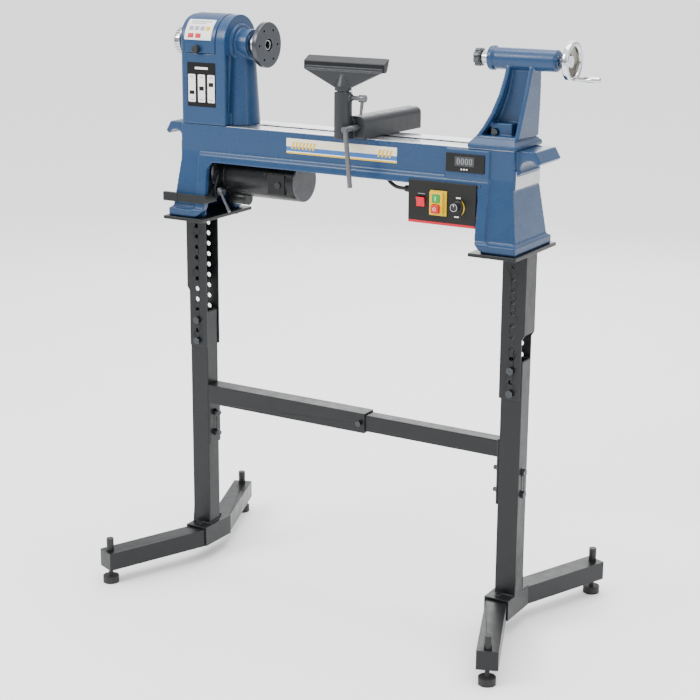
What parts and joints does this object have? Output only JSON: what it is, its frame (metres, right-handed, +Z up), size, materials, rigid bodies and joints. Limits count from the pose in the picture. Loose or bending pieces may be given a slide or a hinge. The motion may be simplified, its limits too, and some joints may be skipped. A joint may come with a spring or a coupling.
{
  "type": "wood lathe",
  "caption": "Floor-standing wood lathe: slotted cast bed on a splayed tube stand, belt-driven headstock with faceplate, swivelling tool rest, sliding tailstock and a switch panel.",
  "frame": {"origin": "on the floor under the middle of the whole machine's box", "axes": "+X along the bed from the headstock to the tailstock, +Y to the back, +Z up; the controls face -Y"},
  "size_m": [1.0791, 0.586, 1.3015],
  "materials": {
    "black_paint": "satin",
    "blue_cast": "gloss",
    "dark_cast": "satin",
    "black_fasteners": "satin",
    "black_plastic": "matte",
    "cable_rubber": "matte",
    "belt_rubber": "matte",
    "steel": "satin",
    "dark_steel": "satin",
    "aluminium": "satin",
    "chrome": "polished",
    "motor_black": "satin",
    "motor_grey": "satin",
    "switch_red": "gloss",
    "switch_yellow": "gloss",
    "switch_green": "gloss"
  },
  "bodies": {
    "stand": {"lower_leg_left": "black_paint", "lower_leg_right": "black_paint", "foot_arm_front_left": "black_paint", "foot_arm_rear_left": "black_paint", "foot_arm_front_right": "black_paint", "foot_arm_rear_right": "black_paint", "foot_lock_nuts": "black_plastic", "crossbar_outer": "black_paint", "crossbar_inner": "black_paint", "stand_bolts": "black_fasteners"},
    "front_left_foot": {"foot_front_left": "black_plastic"},
    "rear_left_foot": {"foot_rear_left": "black_plastic"},
    "front_right_foot": {"foot_front_right": "black_plastic"},
    "rear_right_foot": {"foot_rear_right": "black_plastic"},
    "machine": {"upper_leg_left": "black_paint", "upper_leg_right": "black_paint", "bed": "blue_cast", "casting_bolts": "black_fasteners", "headstock": "blue_cast", "spindle_bearings": "steel", "drive_belt": "belt_rubber", "hinge_pins": "steel", "lock_bracket": "black_paint", "control_box": "black_plastic", "switch_housing": "switch_yellow", "cable_gland": "black_plastic", "motor_cable": "cable_rubber", "speed_display": "black_plastic"},
    "door": {"belt_door": "blue_cast"},
    "door_catch": {"door_knob": "black_plastic"},
    "spindle_group": {"spindle": "steel", "spindle_pulley": "aluminium", "faceplate": "dark_steel", "outboard_handwheel": "chrome"},
    "motor_group": {"motor": "motor_black", "motor_end_cover": "motor_grey", "motor_terminal_box": "motor_black", "motor_plate": "black_paint", "tension_handle": "black_paint"},
    "motor_rotor": {"motor_pulley": "aluminium"},
    "tension_lock": {"lock_lever": "steel"},
    "rocker": {"rocker_switch": "switch_red"},
    "start_button": {"green_button": "switch_green"},
    "stop_button": {"red_button": "switch_red"},
    "speed_dial": {"speed_knob": "black_plastic"},
    "banjo_carriage": {"banjo_clamp_plate": "dark_steel"},
    "banjo_swivel": {"banjo_stud": "steel"},
    "banjo_arm": {"banjo": "dark_cast"},
    "banjo_clamp": {"banjo_lever": "steel"},
    "rest_post": {"tool_rest_post": "steel"},
    "rest_blade": {"tool_rest_blade": "dark_cast"},
    "rest_lock": {"rest_lock_lever": "black_plastic"},
    "tailstock_body": {"tailstock": "blue_cast", "tailstock_clamp": "dark_steel"},
    "tailstock_lock": {"tailstock_lever": "steel"},
    "quill_group": {"quill": "steel"},
    "centre": {"live_centre": "dark_steel"},
    "feed_wheel": {"tail_handwheel": "chrome"},
    "feed_handle": {"tail_handle": "chrome"}
  },
  "joints": [
    {"name": "stand_height", "type": "slide", "parent": "stand", "child": "machine", "axis": [0, 0, 1], "range_m": [-0.15, 0]},
    {"name": "front_left_level", "type": "slide", "parent": "stand", "child": "front_left_foot", "axis": [0, 0, -1], "range_m": [0, 0.02]},
    {"name": "rear_left_level", "type": "slide", "parent": "stand", "child": "rear_left_foot", "axis": [0, 0, -1], "range_m": [0, 0.02]},
    {"name": "front_right_level", "type": "slide", "parent": "stand", "child": "front_right_foot", "axis": [0, 0, -1], "range_m": [0, 0.02]},
    {"name": "rear_right_level", "type": "slide", "parent": "stand", "child": "rear_right_foot", "axis": [0, 0, -1], "range_m": [0, 0.02]},
    {"name": "belt_door_hinge", "type": "hinge", "parent": "machine", "child": "door", "pos_m": [-0.3855, 0.07, 1.2165], "axis": [-1, 0, 0], "range_deg": [0, 100]},
    {"name": "door_knob_turn", "type": "hinge", "parent": "door", "child": "door_catch", "pos_m": [-0.3895, -0.066, 1.2255], "axis": [0, 1, 0], "range_deg": [0, 90]},
    {"name": "spindle_turn", "type": "hinge", "parent": "machine", "child": "spindle_group", "pos_m": [-0.3255, 0, 1.2365], "axis": [1, 0, 0], "continuous": true},
    {"name": "belt_tension", "type": "hinge", "parent": "machine", "child": "motor_group", "pos_m": [-0.3055, 0.044, 1.008], "axis": [-1, 0, 0], "range_deg": [0, 6.5], "deforming": ["drive_belt"]},
    {"name": "motor_turn", "type": "hinge", "parent": "motor_group", "child": "motor_rotor", "pos_m": [-0.3855, 0, 0.941], "axis": [1, 0, 0], "continuous": true},
    {"name": "tension_lock_turn", "type": "hinge", "parent": "motor_group", "child": "tension_lock", "pos_m": [-0.3555, -0.044, 0.905], "axis": [-1, 0, 0], "range_deg": [0, 50]},
    {"name": "rocker_tip", "type": "hinge", "parent": "machine", "child": "rocker", "pos_m": [0.1845, -0.0725, 0.9395], "axis": [-1, 0, 0], "range_deg": [0, 14]},
    {"name": "green_press", "type": "slide", "parent": "machine", "child": "start_button", "axis": [0, 1, 0], "range_m": [0, 0.002], "stiffness_N_per_m": 300},
    {"name": "red_press", "type": "slide", "parent": "machine", "child": "stop_button", "axis": [0, 1, 0], "range_m": [0, 0.004], "stiffness_N_per_m": 300},
    {"name": "speed_dial_turn", "type": "hinge", "parent": "machine", "child": "speed_dial", "pos_m": [0.2715, -0.085, 0.9375], "axis": [0, 1, 0], "range_deg": [0, 300]},
    {"name": "rest_along_bed", "type": "slide", "parent": "machine", "child": "banjo_carriage", "axis": [1, 0, 0], "range_m": [-0.14, 0.13]},
    {"name": "banjo_swing", "type": "hinge", "parent": "banjo_carriage", "child": "banjo_swivel", "pos_m": [0.0365, 0, 1.0585], "axis": [0, 0, 1], "range_deg": [-25, 25]},
    {"name": "rest_across_bed", "type": "slide", "parent": "banjo_swivel", "child": "banjo_arm", "axis": [0.061, 0.9981, 0], "range_m": [-0.12, 0.045]},
    {"name": "banjo_clamp_turn", "type": "hinge", "parent": "banjo_arm", "child": "banjo_clamp", "pos_m": [0.03039, -0.09981, 1.083], "axis": [0.061, 0.9981, 0], "range_deg": [-45, 45]},
    {"name": "rest_height", "type": "slide", "parent": "banjo_arm", "child": "rest_post", "axis": [0, 0, 1], "range_m": [0, 0.06]},
    {"name": "rest_turn", "type": "hinge", "parent": "rest_post", "child": "rest_blade", "pos_m": [0.00485, -0.09164, 1.16], "axis": [0, 0, 1], "range_deg": [-60, 60]},
    {"name": "rest_lock_turn", "type": "hinge", "parent": "banjo_arm", "child": "rest_lock", "pos_m": [0.04976, -0.09439, 1.1465], "axis": [0.9981, -0.061, 0], "range_deg": [-90, 90]},
    {"name": "tailstock_along_bed", "type": "slide", "parent": "machine", "child": "tailstock_body", "axis": [1, 0, 0], "range_m": [-0.15, 0]},
    {"name": "tailstock_lock_turn", "type": "hinge", "parent": "tailstock_body", "child": "tailstock_lock", "pos_m": [0.3305, 0, 1.0905], "axis": [0, 1, 0], "range_deg": [-45, 45]},
    {"name": "quill_travel", "type": "slide", "parent": "tailstock_body", "child": "quill_group", "axis": [-1, 0, 0], "range_m": [0, 0.05]},
    {"name": "handwheel_turn", "type": "hinge", "parent": "tailstock_body", "child": "feed_wheel", "pos_m": [0.4545, 0, 1.2365], "axis": [-1, 0, 0], "range_deg": [0, 3600]},
    {"name": "live_centre_turn", "type": "hinge", "parent": "quill_group", "child": "centre", "pos_m": [0.2745, 0, 1.2365], "axis": [1, 0, 0], "continuous": true},
    {"name": "handle_spin", "type": "hinge", "parent": "feed_wheel", "child": "feed_handle", "pos_m": [0.5145, 0, 1.2029], "axis": [1, 0, 0], "continuous": true}
  ],
  "couplings": [
    {"joint": "motor_turn", "follows": "spindle_turn", "ratio": 1.3333},
    {"joint": "quill_travel", "follows": "handwheel_turn", "m_per_rad": 0.000795}
  ]
}
